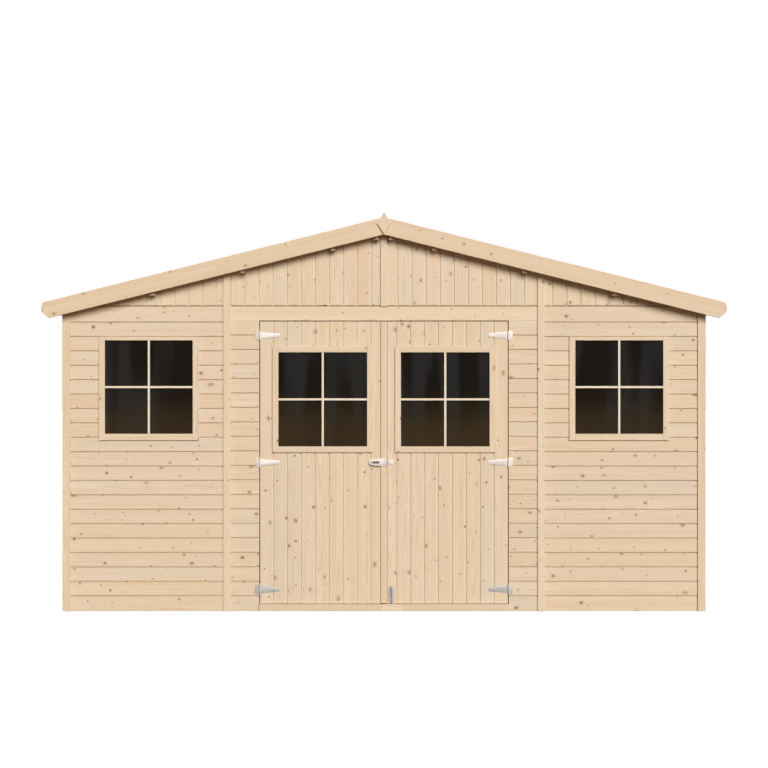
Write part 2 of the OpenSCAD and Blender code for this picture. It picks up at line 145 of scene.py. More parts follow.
def copyOf(piece, place=None):
    twin = bpy.data.objects.new(piece.name, piece.data.copy())
    scene.collection.objects.link(twin)
    if place is not None:
        twin.data.transform(place)
    return twin


def joinAll(pieces, name):
    pickNone()
    for piece in pieces:
        piece.select_set(True)
    bpy.context.view_layer.objects.active = pieces[0]
    if len(pieces) > 1:
        bpy.ops.object.join()
    whole = bpy.context.view_layer.objects.active
    whole.name = name
    whole.data.name = name
    return whole


def finishPiece(pieces, name, body, finish, stoodFor=()):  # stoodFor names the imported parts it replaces
    whole = joinAll(pieces, name)
    whole.data.materials.clear()
    whole.data.materials.append(finish)
    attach(whole, body)
    if stoodFor:
        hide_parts(*stoodFor)


def placeOf(start, along, inward, length):  # X runs along, Y goes in from the face, Z across
    run, deep = Vector(along).normalized(), Vector(inward).normalized()
    place = Matrix((run * length, deep, run.cross(deep))).transposed().to_4x4()
    place.translation = Vector(start)
    return place


# The run of the grain goes onto each board as attributes that the timber finishes read

def setValues(mesh, key, kind, domain, chosen, values):
    spot = mesh.attributes.get(key) or mesh.attributes.new(key, kind, domain)
    field = "vector" if kind == "FLOAT_VECTOR" else "value"
    store = np.zeros(len(chosen) * (3 if field == "vector" else 1), np.float32)
    spot.data.foreach_get(field, store)
    table = store.reshape(len(chosen), -1)
    table[chosen] = values
    spot.data.foreach_set(field, table.ravel())


def setGrain(piece, origin, along, inward, chosen=None, tint=None):
    mesh = piece.data
    points = np.zeros(len(mesh.vertices) * 3)
    mesh.vertices.foreach_get("co", points)
    points = points.reshape(-1, 3)
    if chosen is None:
        chosen = np.ones(len(points), bool)
    run, deep = Vector(along).normalized(), Vector(inward).normalized()
    axes = np.array([run, deep, run.cross(deep)]).T
    # Where the tree's heart lay: somewhere along, a little behind or in front, and to one side
    pith = [dice.uniform(0, 60), dice.choice((-1, 1)) * dice.uniform(0.02, 0.09), dice.uniform(-0.06, 0.06)]
    grain = (points[chosen] - np.array(origin, float)) @ axes + np.array(pith)
    setValues(mesh, "grain", "FLOAT_VECTOR", "POINT", chosen, grain)
    setValues(mesh, "tint", "FLOAT", "POINT", chosen, dice.random() if tint is None else tint)
    normals = np.zeros(len(mesh.polygons) * 3)
    mesh.polygons.foreach_get("normal", normals)
    corner = np.zeros(len(mesh.loops), np.int32)
    mesh.loops.foreach_get("vertex_index", corner)
    first = np.zeros(len(mesh.polygons), np.int32)
    mesh.polygons.foreach_get("loop_start", first)
    mine = chosen[corner[first]]
    sawn = np.abs(normals.reshape(-1, 3) @ axes[:, 0])[mine] > 0.8
    setValues(mesh, "cutEnd", "FLOAT", "FACE", mine, sawn.astype(np.float32)[:, None])


def looseParts(mesh):  # one number per vertex, the same within each solid
    parent = list(range(len(mesh.vertices)))

    def top(k):
        while parent[k] != k:
            parent[k] = parent[parent[k]]
            k = parent[k]
        return k

    for edge in mesh.edges:
        parent[top(edge.vertices[0])] = top(edge.vertices[1])
    return np.array([top(k) for k in range(len(parent))])


def grainByShape(piece, along=None, tint=None):  # each solid's grain follows its longest way
    mesh = piece.data
    parts = looseParts(mesh)
    points = np.array([v.co for v in mesh.vertices])
    for part in sorted(set(parts.tolist())):
        chosen = parts == part
        own = points[chosen]
        ways = np.linalg.eigh(np.cov((own - own.mean(0)).T))[1]
        run = Vector(along) if along else Vector(ways[:, 2])
        deep = Vector(ways[:, 0])
        deep = (deep - run * deep.dot(run)).normalized() if abs(deep.dot(run)) < 0.9 else run.orthogonal()
        setGrain(piece, own.mean(0), run, deep, chosen, tint)


def fromNode(name, arris, segments=2, smooth=False):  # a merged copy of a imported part, its edges eased
    piece = copyOf(nodes[name])
    piece.data.materials.clear()
    activate(piece)
    if piece.data.has_custom_normals:
        bpy.ops.mesh.customdata_custom_splitnormals_clear()
    pickAll(piece)
    bpy.ops.mesh.remove_doubles(threshold=0.00002)
    bpy.ops.mesh.dissolve_limited(angle_limit=math.radians(0.5))
    leaveEdit()
    bpy.ops.object.shade_flat()
    if arris:
        useModifier(piece, "BEVEL", width=arris, segments=segments, limit_method="ANGLE",
                    angle_limit=math.radians(32), harden_normals=False)
    if smooth:
        activate(piece)
        bpy.ops.object.shade_smooth_by_angle(angle=math.radians(32))
    return piece


# Finishes: node values written as plain sums

class Wire:
    def __init__(self, bench, socket):
        self.bench, self.socket = bench, socket

    def sum(self, kind, first, second):
        return self.bench.part("ShaderNodeMath", {"operation": kind}, {0: first, 1: second})

    def __add__(self, other):
        return self.sum("ADD", self, other)

    def __radd__(self, other):
        return self.sum("ADD", other, self)

    def __sub__(self, other):
        return self.sum("SUBTRACT", self, other)

    def __rsub__(self, other):
        return self.sum("SUBTRACT", other, self)

    def __mul__(self, other):
        return self.sum("MULTIPLY", self, other)

    def __rmul__(self, other):
        return self.sum("MULTIPLY", other, self)

    def __truediv__(self, other):
        return self.sum("DIVIDE", self, other)

    def __pow__(self, other):
        return self.sum("POWER", self, other)


class Bench:
    def __init__(self, name):
        self.material = bpy.data.materials.new(name)
        self.material.use_nodes = True
        self.tree = self.material.node_tree
        self.tree.nodes.clear()

    def part(self, kind, settings=None, sockets=None, out=0):
        node = self.tree.nodes.new(kind)
        for key, value in (settings or {}).items():
            if key == "stops":
                ramp = node.color_ramp
                while len(ramp.elements) < len(value):
                    ramp.elements.new(0.5)
                for element, (spot, tone) in zip(ramp.elements, value):
                    element.position = spot
                    element.color = (*tone, 1)
            else:
                setattr(node, key, value)
        for key, value in (sockets or {}).items():
            if isinstance(value, Wire):
                self.tree.links.new(value.socket, node.inputs[key])
            else:
                spot = node.inputs[key]
                long = hasattr(spot.default_value, "__len__") and len(spot.default_value) == 4
                spot.default_value = (*value, 1) if long and len(value) == 3 else value
        return Wire(self, node.outputs[out])

    def place(self):
        return self.part("ShaderNodeTexCoord", {}, {}, "Object")

    def cells(self, vector, scale, out, settings=None):
        return self.part("ShaderNodeTexVoronoi", settings, {"Vector": vector, "Scale": scale}, out)

    def attribute(self, name, out="Fac"):
        return self.part("ShaderNodeAttribute", {"attribute_name": name}, {}, out)

    def split(self, vector):
        return [self.part("ShaderNodeSeparateXYZ", {}, {0: vector}, k) for k in range(3)]

    def point(self, x, y, z=0.0):
        return self.part("ShaderNodeCombineXYZ", {}, {0: x, 1: y, 2: z})

    def stretched(self, vector, by):
        return self.part("ShaderNodeVectorMath", {"operation": "MULTIPLY"}, {0: vector, 1: by})

    def noise(self, vector, scale, detail=2.0, rough=0.5):
        return self.part("ShaderNodeTexNoise", {},
                         {"Vector": vector, "Scale": scale, "Detail": detail, "Roughness": rough})

    def ease(self, value, low, high, start=0.0, end=1.0):  # from start at low to end at high
        return self.part("ShaderNodeMapRange", {"interpolation_type": "SMOOTHSTEP"},
                         {"Value": value, "From Min": low, "From Max": high, "To Min": start, "To Max": end})

    def tone(self, share, first, second, how="MIX"):
        return self.part("ShaderNodeMix", {"data_type": "RGBA", "blend_type": how},
                         {0: share, 6: first, 7: second}, 2)

    def bump(self, height, strength, distance):
        return self.part("ShaderNodeBump", {}, {"Height": height, "Strength": strength, "Distance": distance})

    def finish(self, sockets):
        surface = self.part("ShaderNodeBsdfPrincipled", {}, sockets)
        end = self.tree.nodes.new("ShaderNodeOutputMaterial")
        self.tree.links.new(surface.socket, end.inputs["Surface"])
        return self.material


spruceLook = {
    "early": (0.785, 0.667, 0.523), "late": (0.60, 0.42, 0.25), "ringGap": 0.0034, "ringShare": 0.34,
    "streak": (0.955, 0.87, 0.76), "streakShare": 0.5,
    "knotDark": (0.125, 0.062, 0.026), "knotPale": (0.23, 0.125, 0.06), "halo": (0.50, 0.33, 0.18),
    "knotCell": (0.17, 0.095), "knotShare": 0.78, "knotSmall": 0.0028, "knotMore": 0.0056,
    "pinCell": (0.10, 0.052), "pinShare": 0.5, "pin": 0.0017, "pinShift": 7.3,
    "rough": 0.58, "fibre": 0.35, "bump": 0.35, "fibreShade": (0.72, 0.62, 0.52), "cutShade": (0.74, 0.66, 0.57),
    "tints": [(0.0, (0.965, 0.965, 0.955)), (0.25, (1.0, 0.985, 0.955)), (0.5, (1.0, 0.96, 0.93)),
              (0.75, (1.02, 0.985, 0.92)), (1.0, (0.985, 0.935, 0.87))]}


def spruce(name, **changes):
    look = {**spruceLook, **changes}
    bench = Bench(name)
    grain = bench.attribute("grain", "Vector")
    tint = bench.attribute("tint")
    cutEnd = bench.attribute("cutEnd")
    along, deep, wide = bench.split(grain)
    # Knots: one cell of a coarse net each, some left empty
    cellLong, cellWide = look["knotCell"]
    net = bench.point(along / cellLong, wide / cellWide)
    flat = {"voronoi_dimensions": "2D"}
    spotLong, spotWide = bench.split(bench.cells(net, 1.0, "Position", flat))[:2]
    size, kept, slant = bench.split(bench.cells(net, 1.0, "Color", flat))
    wobble = bench.noise(grain, 90.0, 2.0) - 0.5
    fromLong = (along - spotLong * cellLong) * (0.62 + slant * 0.34)
    fromWide = wide - spotWide * cellWide
    away = (fromLong * fromLong + fromWide * fromWide) ** 0.5 + wobble * 0.003
    here = bench.ease(kept, 1.0 - look["knotShare"], 1.001 - look["knotShare"])
    reach = size * size * look["knotMore"] + look["knotSmall"]
    knot = bench.ease(away / reach, 1.12, 0.86) * here
    halo = bench.ease(away / reach, 2.7, 0.9) * here
    # Pin knots on a finer net
    pinCellLong, pinCellWide = look["pinCell"]
    pinNet = bench.point(along / pinCellLong + look["pinShift"], wide / pinCellWide)
    pinSpot = bench.split(bench.cells(pinNet, 1.0, "Position", flat))
    pinKept = bench.split(bench.cells(pinNet, 1.0, "Color", flat))
    pinLong = (along + pinCellLong * look["pinShift"] - pinSpot[0] * pinCellLong) * 0.6
    pinWide = wide - pinSpot[1] * pinCellWide
    pinAway = (pinLong * pinLong + pinWide * pinWide) ** 0.5 / (pinKept[1] * 0.0014 + look["pin"])
    pin = bench.ease(pinAway, 1.2, 0.7) * bench.ease(pinKept[0], 1.0 - look["pinShare"], 1.001 - look["pinShare"])
    # Growth rings round a pith beside the board, led round each knot
    slow = bench.noise(bench.stretched(grain, (0.55, 5.0, 5.0)), 1.0, 2.0) - 0.5
    sway = bench.noise(bench.stretched(grain, (3.5, 30.0, 30.0)), 1.0, 2.0) - 0.5
    pithFar = (deep * deep + wide * wide) ** 0.5
    rings = (pithFar + slow * 0.045 + sway * 0.004 + bench.ease(away, 0.04, 0.0) * here * 0.011) / look["ringGap"]
    turn = bench.part("ShaderNodeMath", {"operation": "FRACT"}, {0: rings})
    lateWood = bench.ease(turn, 0.35, 0.9) * bench.ease(turn, 1.0, 0.93)
    fibre = bench.noise(bench.stretched(grain, (9.0, 900.0, 900.0)), 1.0, 2.0, 0.6)
    streak = bench.noise(bench.stretched(grain, (0.8, 34.0, 34.0)), 1.0, 3.0, 0.55)
    body = bench.tone(bench.ease(streak, 0.36, 0.68) * look["streakShare"], look["early"],
                      bench.tone(1.0, look["early"], look["streak"], "MULTIPLY"))
    ringed = bench.tone(lateWood * (0.6 + streak * 0.8) * look["ringShare"], body, look["late"])
    fine = bench.tone((fibre - 0.5) * look["fibre"] + 0.18, ringed,
                      bench.tone(1.0, ringed, look["fibreShade"], "MULTIPLY"))
    boardTone = bench.part("ShaderNodeValToRGB", {"stops": look["tints"]}, {"Fac": tint})
    tinted = bench.tone(1.0, fine, boardTone, "MULTIPLY")
    # Knot colour: dark rim, paler heart, and a warm halo in the wood round it
    heart = bench.tone(bench.ease(away / reach, 0.25, 0.9), look["knotPale"], look["knotDark"])
    warm = bench.tone(halo * 0.5, tinted, look["halo"])
    pinned = bench.tone(pin * (0.2 + pinKept[2] * 0.45), warm, look["knotPale"])
    knotted = bench.tone(knot * (0.34 + slant * 0.54), pinned, heart)
    colour = bench.tone(cutEnd * 0.55, knotted, bench.tone(1.0, knotted, look["cutShade"], "MULTIPLY"))
    height = lateWood * 0.45 + fibre * 0.5 - knot * 0.35
    return bench.finish({
        "Base Color": colour, "Roughness": look["rough"] - lateWood * 0.1 + fibre * 0.1 - knot * 0.12,
        "Specular IOR Level": 0.32, "Normal": bench.bump(height, look["bump"], 0.0006)})


# Painted reflection: the steel is darkened towards the ground, standing in for the dim floor it would mirror
steelLook = {
    "zinc": (0.80, 0.725, 0.67), "shade": (0.70, 0.645, 0.60), "reflectedFloor": (0.50, 0.485, 0.47),
    "metal": 0.55, "floorReflectHeights": (0.25, 0.65), "rough": 0.56, "spangle": 260.0}


def galvanised(name, **changes):
    look = {**steelLook, **changes}
    bench = Bench(name)
    place = bench.place()
    lit = bench.split(bench.cells(place, look["spangle"], "Color"))[0]
    cloud = bench.noise(place, 38.0, 3.0)
    scratch = bench.noise(bench.stretched(place, (60.0, 60.0, 2400.0)), 1.0, 2.0, 0.6)
    share = bench.ease(cloud, 0.35, 0.72) * 0.5 + lit * 0.35
    height = bench.split(place)[2]
    floorReflected = bench.ease(height + (cloud - 0.5) * 0.1, *look["floorReflectHeights"], 0.85, 0.0)  # painted reflection: darker towards the ground, as if the steel mirrored the dim floor
    return bench.finish({
        "Base Color": bench.tone(floorReflected, bench.tone(share, look["zinc"], look["shade"]), look["reflectedFloor"]),
        "Metallic": look["metal"], "Roughness": look["rough"] + lit * 0.1 + scratch * 0.12,
        "Normal": bench.bump(lit * 0.4 + scratch * 0.6, 0.12, 0.0003)})


# Painted shade: the pane is a near-black, half-opaque sheet standing in for the dim room behind it
glassLook = {
    "body": (0.015, 0.0125, 0.010), "reflectedSheen": (0.034, 0.035, 0.037), "interiorGlimpse": (0.062, 0.039, 0.016),
    "glimpseHeights": (1.40, 1.08), "cover": 0.55, "rough": 0.03}


def paneFinish(name):
    look = glassLook
    bench = Bench(name)
    place = bench.place()
    film = bench.ease(bench.noise(bench.stretched(place, (1.0, 1.0, 0.45)), 5.0, 4.0, 0.6), 0.42, 0.8)
    # Painted reflection: upright bands of bluish-grey sheen
    sheenBands = bench.ease(bench.noise(bench.stretched(place, (1.0, 1.0, 0.12)), 7.5, 1.5, 0.4), 0.44, 0.60)
    ripple = bench.noise(bench.stretched(place, (1.0, 1.0, 0.6)), 3.2, 1.0)
    # Painted light: browner towards the bottom of the pane, standing in for the lit inside seen through the glass
    low = bench.ease(bench.split(place)[2] + film * 0.05, *look["glimpseHeights"])
    sheened = bench.tone(sheenBands * 0.75, look["body"], look["reflectedSheen"])
    return bench.finish({
        "Base Color": bench.tone(low * (0.65 + film * 0.35), sheened, look["interiorGlimpse"]),
        "Roughness": look["rough"] + film * 0.05, "Specular IOR Level": 0.22,
        "Alpha": look["cover"] + film * 0.05, "Normal": bench.bump(ripple, 0.25, 0.01)})


feltLook = {"dark": (0.035, 0.040, 0.038), "pale": (0.13, 0.145, 0.135), "grit": 1100.0}


def roofFelt(name):
    look = feltLook
    bench = Bench(name)
    place = bench.place()
    lump = bench.cells(place, look["grit"], "Distance")
    speck = bench.split(bench.cells(place, look["grit"], "Color"))[0]
    patch = bench.noise(place, 2.3, 4.0, 0.6)
    worn = bench.noise(bench.stretched(place, (8.0, 1.2, 8.0)), 1.0, 3.0)
    clump = bench.noise(place, 55.0, 3.0, 0.7)
    share = bench.ease(speck, 0.35, 1.0) * 0.6 + (patch - 0.5) * 0.6 + (worn - 0.5) * 0.4 + (clump - 0.5) * 0.8
    return bench.finish({
        "Base Color": bench.tone(share, look["dark"], look["pale"]), "Roughness": 0.88 + speck * 0.1,
        "Specular IOR Level": 0.25, "Normal": bench.bump(speck * 0.7 - lump * 0.6, 0.7, 0.0012)})


boardTimber = spruce("boardTimber")
doorTimber = spruce("doorTimber")
trimTimber = spruce("trimTimber", knotShare=0.6, knotMore=0.004, early=(0.78, 0.662, 0.515), rough=0.55)
paleTimber = spruce("paleTimber", knotMore=0.004, early=(0.81, 0.70, 0.555), rough=0.55)
barTimber = spruce("barTimber", knotShare=0.05, ringShare=0.18, early=(0.86, 0.77, 0.64), streakShare=0.2, rough=0.5)
frameTimber = spruce("frameTimber", early=(0.74, 0.59, 0.43), fibre=0.6, bump=0.8, rough=0.72, ringShare=0.45)
roofTimber = spruce("roofTimber", early=(0.76, 0.62, 0.46))
floorTimber = spruce("floorTimber", early=(0.73, 0.57, 0.41), rough=0.5)
zinc = galvanised("zinc")
# Painted shade: a dark steel finish for the plate in the hasp's slot
slotShade = galvanised("slotShade", zinc=(0.20, 0.17, 0.13), shade=(0.13, 0.11, 0.085))
pane = paneFinish("pane")
felt = roofFelt("felt")
report("finishes ready")


# Boards: a planed board with its groove strip, 1 m long along X, its face at Y 0 and its foot at Z 0

masters = {}  # planed boards by size
proudest, deepest = 0.0003, 0.0004  # no two boards lie quite flush


def planedBoard(body, groove, look):
    key = (round(body, 5), round(groove, 5), look["thick"], look["grooveDeep"], look["arris"])
    if key in masters:
        return masters[key]
    board = cubeAt((0, 0, 0), (1, look["thick"], body))
    if groove > 0:
        pickAll(board)
        bpy.ops.mesh.bisect(plane_co=(0, look["grooveDeep"], 0), plane_no=(0, 1, 0))
        leaveEdit()
        pickFaces(board, lambda middle, normal: normal.z > 0.9 and middle.y > look["grooveDeep"])
        bpy.ops.mesh.extrude_region_move(TRANSFORM_OT_translate={"value": (0, 0, groove)})
        leaveEdit()
    pickEdges(board, lambda a, b: max(a.y, b.y) < 0.00001 and abs(a.x - b.x) > 0.5)
    bpy.ops.mesh.bevel(offset=look["arris"], segments=2, affect="EDGES")
    leaveEdit()
    board.name = "master"
    masters[key] = board
    return board


def touches(piece, low, high):
    points = np.array([v.co for v in piece.data.vertices])
    return bool(np.all(points.min(0) < np.array(high)) and np.all(points.max(0) > np.array(low)))


def layBoard(master, start, along, inward, length, holes=()):
    run, deep = Vector(along).normalized(), Vector(inward).normalized()
    start = Vector(start) + deep * dice.uniform(-proudest, deepest)
    board = copyOf(master, placeOf(start, run, deep, length))
    for hole in holes:
        low, high = hole["span"]
        if touches(board, low, high):
            carve(board, hole["cutter"])
            if not board.data.vertices:
                discard(board)
                return None
    setGrain(board, start, run, deep)
    return board


paneHole = {"spare": 0.001, "front": 0.05, "back": 0.1}


def holeFor(glassName):  # the opening that a glass sheet stands in
    low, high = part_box(glassName)
    spare = paneHole["spare"]
    low = Vector((low.x - spare, low.y - paneHole["front"], low.z - spare))
    high = Vector((high.x + spare, high.y + paneHole["back"], high.z + spare))
    cutter = cubeAt(low, high)
    cutter.name = "cutter"
    return {"span": (low, high), "cutter": cutter}


levelBoards = {
    "pitch": 0.088, "besideDoor": 0.0885, "first": 0.094, "least": 0.02,
    "groove": 0.0055, "grooveDeep": 0.0095, "thick": 0.016, "arris": 0.0022}


def levelPanel(face, fromAlong, toAlong, top, holes=(), pitch=None):
    look = levelBoards
    start, along, inward = face
    length = toAlong - fromAlong
    step = pitch or look["pitch"]
    joint, foot, boards = look["first"], 0.0, []
    while foot < top - 0.001:
        last = joint > top - look["least"]
        head = top if last else joint - look["groove"] / 2
        groove = 0 if last else look["groove"]
        corner = Vector(start) + Vector(along) * fromAlong + Vector((0, 0, foot))
        board = layBoard(planedBoard(head - foot, groove, look), corner, along, inward, length, holes)
        if board:
            boards.append(board)
        foot = top if last else joint + look["groove"] / 2
        joint += step
    return boards


# The four faces: a start on the ground, the way along, and the way into the boards
frontLow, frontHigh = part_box("front_wall_left")
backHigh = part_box("back_wall")[1]
leftLow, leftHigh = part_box("left_wall")
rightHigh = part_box("right_wall")[1]
headerLow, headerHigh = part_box("door_header")
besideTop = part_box("front_wall_beside_door")[1].z
frontFace = ((0, frontLow.y, 0), alongX, alongY)
backFace = ((0, backHigh.y, 0), (-1, 0, 0), (0, -1, 0))
leftFace = ((leftLow.x, 0, 0), (0, -1, 0), alongX)
rightFace = ((rightHigh.x, 0, 0), alongY, (-1, 0, 0))
wallTop = frontHigh.z
halfWide = rightHigh.x
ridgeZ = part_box("front_gable")[1].z
slope = (ridgeZ - leftHigh.z) / halfWide
lean = math.atan(slope)
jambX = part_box("threshold")[1].x
jointX = headerHigh.x

wallHoles = [holeFor("window_glass_left"), holeFor("window_glass_right")]
finishPiece(levelPanel(frontFace, frontLow.x, frontHigh.x, wallTop, wallHoles[:1]),
            "frontBoardsLeft", "root", boardTimber, ["front_wall_left"])
finishPiece(levelPanel(frontFace, -frontHigh.x, -frontLow.x, wallTop, wallHoles[1:]),
            "frontBoardsRight", "root", boardTimber, ["front_wall_right"])
finishPiece(levelPanel(frontFace, -jointX, -jambX, besideTop, pitch=levelBoards["besideDoor"])
            + levelPanel(frontFace, jambX, jointX, besideTop, pitch=levelBoards["besideDoor"]),
            "frontBoardsBesideDoor", "root", boardTimber, ["front_wall_beside_door"])
finishPiece([board for a, b in ((-halfWide, -jointX), (-jointX, jointX), (jointX, halfWide))
             for board in levelPanel(backFace, a, b, wallTop)],
            "backBoards", "root", boardTimber, ["back_wall"])
for name, face, corner in (("left", leftFace, leftHigh), ("right", rightFace, rightHigh)):
    finishPiece(levelPanel(face, -corner.y, 0, corner.z) + levelPanel(face, 0, corner.y, corner.z),
                name + "Boards", "root", boardTimber, [name + "_wall"])
report("level boards laid")


uprightBoards = {
    "pitch": 0.086, "middle": 0.0064, "centre": 0.08035, "least": 0.02, "over": 0.004, "most": 22,
    "groove": 0.010, "grooveDeep": 0.007, "thick": 0.016, "arris": 0.0016, "footCut": (0.0145, 0.0085)}


# way is 1 at the front and -1 at the back
def uprightRun(lines, faceY, way, foot, head, holes=(), look=uprightBoards):
    boards = []
    for left, right in zip(lines[:-1], lines[1:]):
        top = head(left, right)
        last = right == lines[-1]
        groove = 0 if last else look["groove"]
        start = (left if way > 0 else -left, faceY, top)
        boards.append(layBoard(planedBoard(right - left - groove, groove, look), start, (0, 0, -1), (0, way, 0),
                               top - foot, holes))
    return [board for board in boards if board]


def roofUnder(x):
    return ridgeZ - slope * abs(x)


def gableBoards(faceY, way, name, stoodFor):
    look = uprightBoards
    middle = look["middle"]
    marks = [look["centre"] + look["pitch"] * k for k in range(look["most"])]
    leftward = [middle - mark for mark in reversed(marks)]
    rightward = [middle + mark for mark in marks]
    leftLines = [-halfWide] + [x for x in leftward if x > -halfWide + look["least"]] + [middle]
    rightLines = [middle] + [x for x in rightward if x < halfWide - look["least"]] + [halfWide]
    back, up = look["footCut"]
    sides = []
    for lines, fall in ((leftLines, -way), (rightLines, way)):
        boards = uprightRun(lines, faceY, way, wallTop,
                            lambda left, right: max(roofUnder(left), roofUnder(right)) + look["over"])
        for board in boards:  # one at a time, so that each cut is closed
            sawOff(board, (0, 0, ridgeZ), (fall * slope, 0, 1))
            sawOff(board, (0, faceY + way * back, wallTop), (0, -way / back, -1 / up))
        sides += boards
    finishPiece(sides, name, "root", boardTimber, [stoodFor])


gableBoards(frontLow.y, 1, "frontGableBoards", "front_gable")
gableBoards(backHigh.y, -1, "backGableBoards", "back_gable")
report("gables boarded")


# Plain timbers: rails, studs, battens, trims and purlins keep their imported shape, with eased edges

bargeEnd = {"topCut": (0.011, 0.024), "scoop": 0.011, "scoopUp": 0.004, "reach": 4, "tip": 0.003}
sill = {"drop": 0.007, "tint": 0.95}  # its underside comes nearer the ground
purlinBack = 0.018  # how far the purlin ends stand back behind the barge boards


def carveBarge(piece):  # one end: top corner taken off, then a scoop above the splay
    corners = [v.co.copy() for v in piece.data.vertices]
    side = 1 if sum(c.x for c in corners) > 0 else -1
    far = max(side * c.x for c in corners)
    tip = [c.z for c in corners if side * c.x > far - bargeEnd["tip"]]
    back, down = bargeEnd["topCut"]
    sawOff(piece, (side * far, 0, max(tip) - down), (side * down, 0, back))
    cutter = rodAt(24, bargeEnd["scoop"], bargeEnd["reach"], (side * far, 0, min(tip) + bargeEnd["scoopUp"]),
                   (math.radians(90), 0, 0))
    carve(piece, cutter)
    discard(cutter)


# Name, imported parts, body, slot, finish, arris, and the grain's way, where None is the longest way
timbers = [
    ("doorHeader", ["door_header"], "root", "trim_timber", paleTimber, 0.0016, alongX),
    ("wallRails", ["front_rails", "back_rails", "side_rails"], "root", "frame_timber", frameTimber, 0.0015, None),
    ("wallStuds", ["front_studs", "back_studs", "side_studs"], "root", "frame_timber", frameTimber, 0.0015, alongZ),
    ("cornerTrims", ["corner_trims"], "root", "trim_timber", trimTimber, 0.0018, alongZ),
    ("coverBattens", ["front_cover_battens", "back_cover_battens", "side_cover_battens"], "root",
     "trim_timber", paleTimber, 0.0018, alongZ),
    ("gableBattens", ["gable_battens"], "root", "trim_timber", trimTimber, 0.0018, alongZ),
    ("thresholdBoard", ["threshold"], "root", "trim_timber", trimTimber, 0.0015, alongX),
    ("purlins", ["ridge_purlins", "roof_purlins"], "root", "roof_timber", roofTimber, 0.0018, alongY),
    ("eaveBattens", ["eave_battens"], "root", "roof_timber", roofTimber, 0.0015, alongY),
    ("bargeBoardsLeft", ["barge_boards_left"], "root", "trim_timber", trimTimber, 0.0018, None),
    ("bargeBoardsRight", ["barge_boards_right"], "root", "trim_timber", trimTimber, 0.0018, None),
    ("finialPair", ["finials"], "root", "trim_timber", trimTimber, 0.0018, alongZ),
    ("floorBearers", ["floor_bearers"], "root", "floor_timber", frameTimber, 0.0015, None),
    ("leftLedges", ["door_left_ledges"], "door_left", "frame_timber", frameTimber, 0.002, alongX),
    ("leftBrace", ["door_left_brace"], "door_left", "frame_timber", frameTimber, 0.002, None),
    ("rightLedges", ["door_right_ledges"], "door_right", "frame_timber", frameTimber, 0.002, alongX),
    ("rightBrace", ["door_right_brace"], "door_right", "frame_timber", frameTimber, 0.002, None)]
for name, parts, body, slotName, finish, arris, way in timbers:
    pieces = []
    for part in parts:
        piece = fromNode(part, arris)
        if "barge" in part:
            carveBarge(piece)
        if part == "threshold":
            pickFaces(piece, lambda middle, normal: normal.z < -0.9)
            bpy.ops.transform.translate(value=(0, 0, -sill["drop"]))
            leaveEdit()
        if "purlins" in part:
            for end in (-1, 1):
                pickFaces(piece, lambda middle, normal: normal.y * end > 0.9)
                bpy.ops.transform.translate(value=(0, -end * purlinBack, 0))
                leaveEdit()
        grainByShape(piece, way, sill["tint"] if part == "threshold" else None)
        pieces.append(piece)
    finishPiece(pieces, name, body, finish, parts)
report("frame and trim timbers eased")


# The planks grow by meet and foot to a close fit
doorBoards = {**uprightBoards, "hingeBoard": 0.083, "pitch": 0.085, "least": 0.03, "meet": 0.0024, "foot": 0.0022}


def doorLeaf(body, name, hingeSide):
    look = doorBoards
    low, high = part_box(body + "_leaf")
    width = high.x - low.x + look["meet"]
    marks = [look["hingeBoard"] + look["pitch"] * k for k in range(look["most"])]
    marks = [0] + [mark for mark in marks if mark < width - look["least"]] + [width]
    lines = [low.x + mark for mark in marks] if hingeSide < 0 else [high.x - mark for mark in reversed(marks)]
    hole = holeFor(body + "_glass")
    boards = uprightRun(lines, low.y, 1, low.z - look["foot"], lambda left, right: high.z, [hole], look)
    discard(hole["cutter"])
    finishPiece(boards, name, body, doorTimber, [body + "_leaf"])


doorLeaf("door_left", "leftLeafBoards", -1)
doorLeaf("door_right", "rightLeafBoards", 1)


windowLook = {
    "rebate": 0.012, "barWide": 0.013, "barDeep": 0.009, "arris": 0.0016, "barArris": 0.0012, "glassArris": 0.0008}
stripArris = 0.0038


def easedStick(low, high, along, arris):
    stick = cubeAt(low, high)
    pickAll(stick)
    bpy.ops.mesh.bevel(offset=arris, segments=2, affect="EDGES")
    leaveEdit()
    setGrain(stick, (Vector(low) + Vector(high)) / 2, along, alongY)
    return stick


def ringOfSticks(outLow, outHigh, inLow, inHigh, yFront, yBack, arris):  # uprights run through
    return [
        easedStick((outLow.x, yFront, outLow.z), (inLow.x, yBack, outHigh.z), alongZ, arris),
        easedStick((inHigh.x, yFront, outLow.z), (outHigh.x, yBack, outHigh.z), alongZ, arris),
        easedStick((inLow.x, yFront, outLow.z), (inHigh.x, yBack, inLow.z), alongX, arris),
        easedStick((inLow.x, yFront, inHigh.z), (inHigh.x, yBack, outHigh.z), alongX, arris)]


